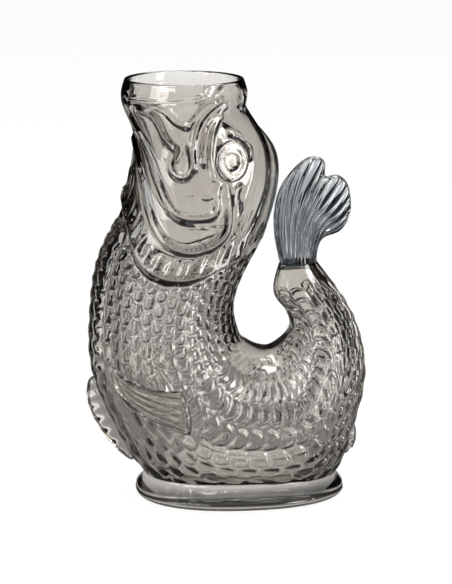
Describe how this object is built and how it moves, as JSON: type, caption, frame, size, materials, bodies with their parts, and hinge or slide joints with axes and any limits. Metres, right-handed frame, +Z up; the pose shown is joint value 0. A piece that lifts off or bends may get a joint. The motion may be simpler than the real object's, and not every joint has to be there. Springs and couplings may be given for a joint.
{
  "type": "water carafe",
  "caption": "Smoke-grey glass water carafe in the form of a fish standing on an oval foot, with the open mouth as its rim and the raised tail as its handle.",
  "frame": {"origin": "on the table, under the middle of the foot", "axes": "+Z up towards the rim; +X from the belly towards the tail; +Y across the fish, away from its left flank"},
  "size_m": [0.1678, 0.0998, 0.25],
  "materials": {
    "smoke_glass": "fire-polished smoke-grey glass",
    "tail_glass": "fire-polished bluish-grey solid glass"
  },
  "bodies": {
    "root": {"body": "smoke_glass", "foot": "smoke_glass", "tail_fin": "tail_glass", "pectoral_fin_left": "smoke_glass", "pectoral_fin_right": "smoke_glass", "belly_fin": "smoke_glass", "anal_fin": "smoke_glass", "eye_left": "smoke_glass", "eye_right": "smoke_glass"}
  },
  "joints": []
}
